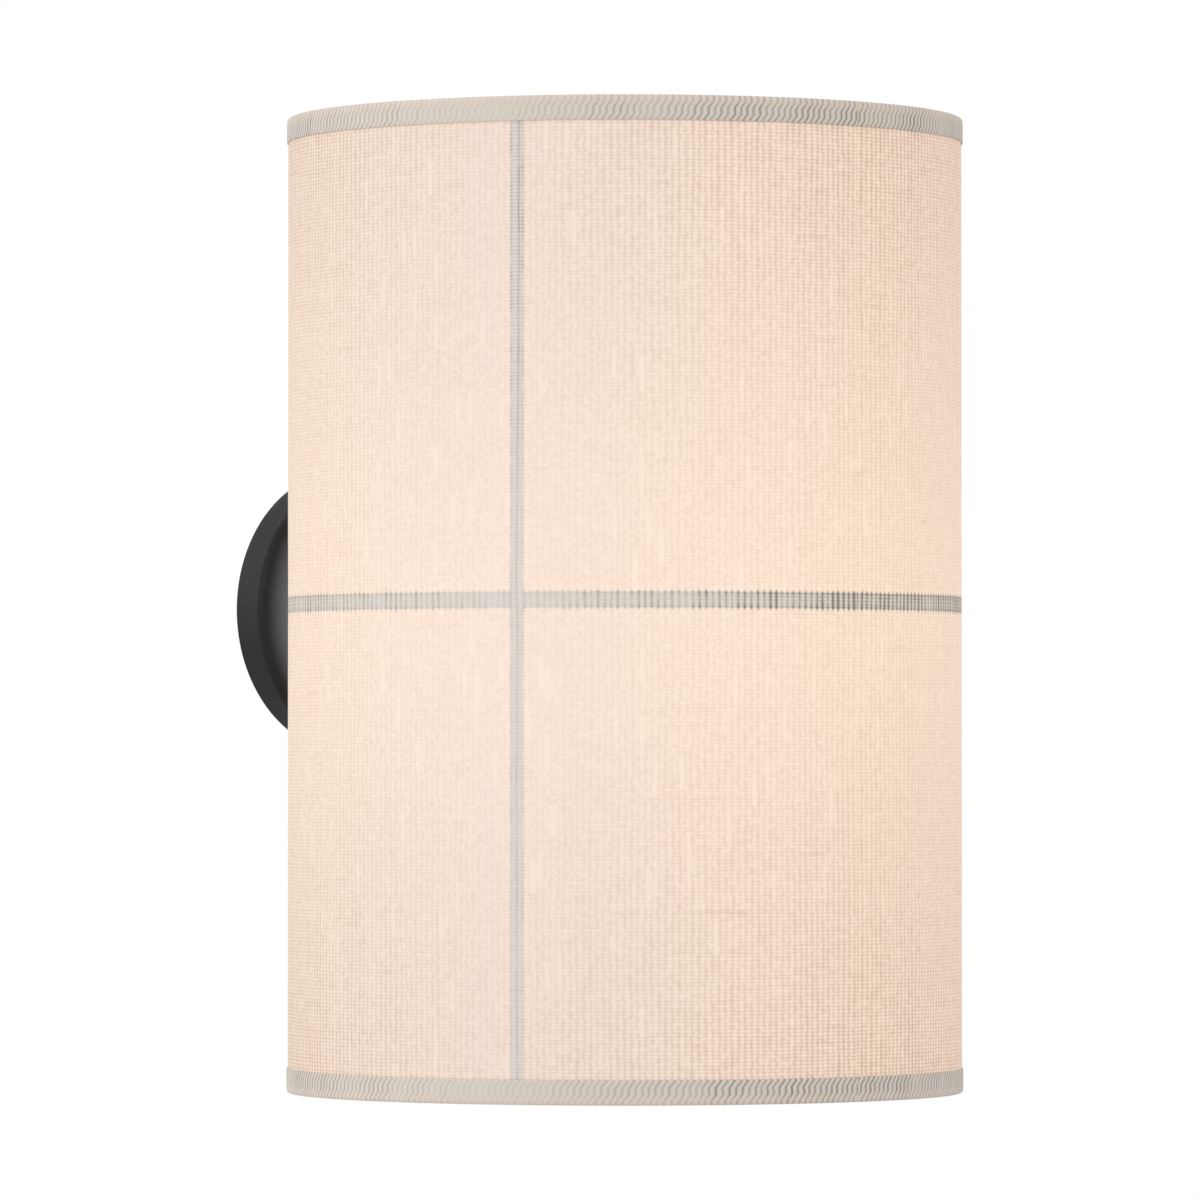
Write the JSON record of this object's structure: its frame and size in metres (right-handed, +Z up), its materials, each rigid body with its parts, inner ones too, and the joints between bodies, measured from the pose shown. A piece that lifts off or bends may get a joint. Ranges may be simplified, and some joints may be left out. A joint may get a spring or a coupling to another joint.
{
  "type": "fabric shade wall light",
  "caption": "Wall light: round black wall plate and short arm hold an upright drum shade of linen on a strip frame, with a screw-in bulb on a bent tube inside.",
  "frame": {"origin": "centre of the wall plate's back, on the wall", "axes": "+Y into the wall, +Z up along the shade, +X to the viewer's right"},
  "size_m": [0.1908, 0.218, 0.2744],
  "materials": {
    "black_steel": "black powder coat, fine grain",
    "zinc_steel": "zinc plated, satin",
    "white_frame": "white lacquer on flat strip",
    "linen": "open plain weave linen on a thin lining",
    "tape": "twill woven cotton tape",
    "white_plastic": "moulded thermoplastic",
    "porcelain": "glazed white",
    "brass": "plain drawn brass",
    "nickel": "nickel plated",
    "insulator_bead": "dark moulded bead",
    "opal_globe": "opal, evenly lit",
    "lead_brown": "silicone insulated lead",
    "lead_blue": "silicone insulated lead",
    "solder": "rounded solder"
  },
  "bodies": {
    "lamp": {"wall_bracket": "zinc_steel", "wall_plate": "black_steel", "plate_screws": "zinc_steel", "arm_nut": "zinc_steel", "arm_washer": "zinc_steel", "terminal_block": "white_plastic", "terminal_screws": "zinc_steel", "earth_screw": "brass", "arm_sleeve": "black_steel", "lamp_arm": "black_steel", "arm_flange": "black_steel", "lead_live": "lead_brown", "lead_neutral": "lead_blue", "frame_top_hoop": "white_frame", "frame_middle_hoop": "white_frame", "frame_bottom_hoop": "white_frame", "upright_left_upper": "white_frame", "upright_left_lower": "white_frame", "upright_right_upper": "white_frame", "upright_right_lower": "white_frame", "upright_back_upper": "white_frame", "upright_back_lower": "white_frame", "frame_boss": "white_frame", "shade_cover": "linen", "top_trim": "tape", "bottom_trim": "tape", "holder_nut": "zinc_steel", "holder_cap": "white_plastic", "holder_shell": "white_plastic", "holder_insert": "porcelain", "lead_screws": "brass", "screw_socket": "brass", "contact_tongue": "brass"},
    "bulb_tip": {"bulb_contact": "solder"},
    "bulb": {"bulb_insulator": "insulator_bead", "bulb_cap": "nickel", "bulb_globe": "opal_globe"}
  },
  "joints": [
    {"name": "bulb_rise", "type": "slide", "parent": "lamp", "child": "bulb_tip", "axis": [0, 0, 1], "range_m": [0, 0.0141]},
    {"name": "bulb_turn", "type": "hinge", "parent": "bulb_tip", "child": "bulb", "pos_m": [0, -0.1226, 0], "axis": [0, 0, 1], "range_deg": [0, 1800]}
  ],
  "couplings": [
    {"joint": "bulb_rise", "follows": "bulb_turn", "m_per_rad": 0.00044882}
  ]
}
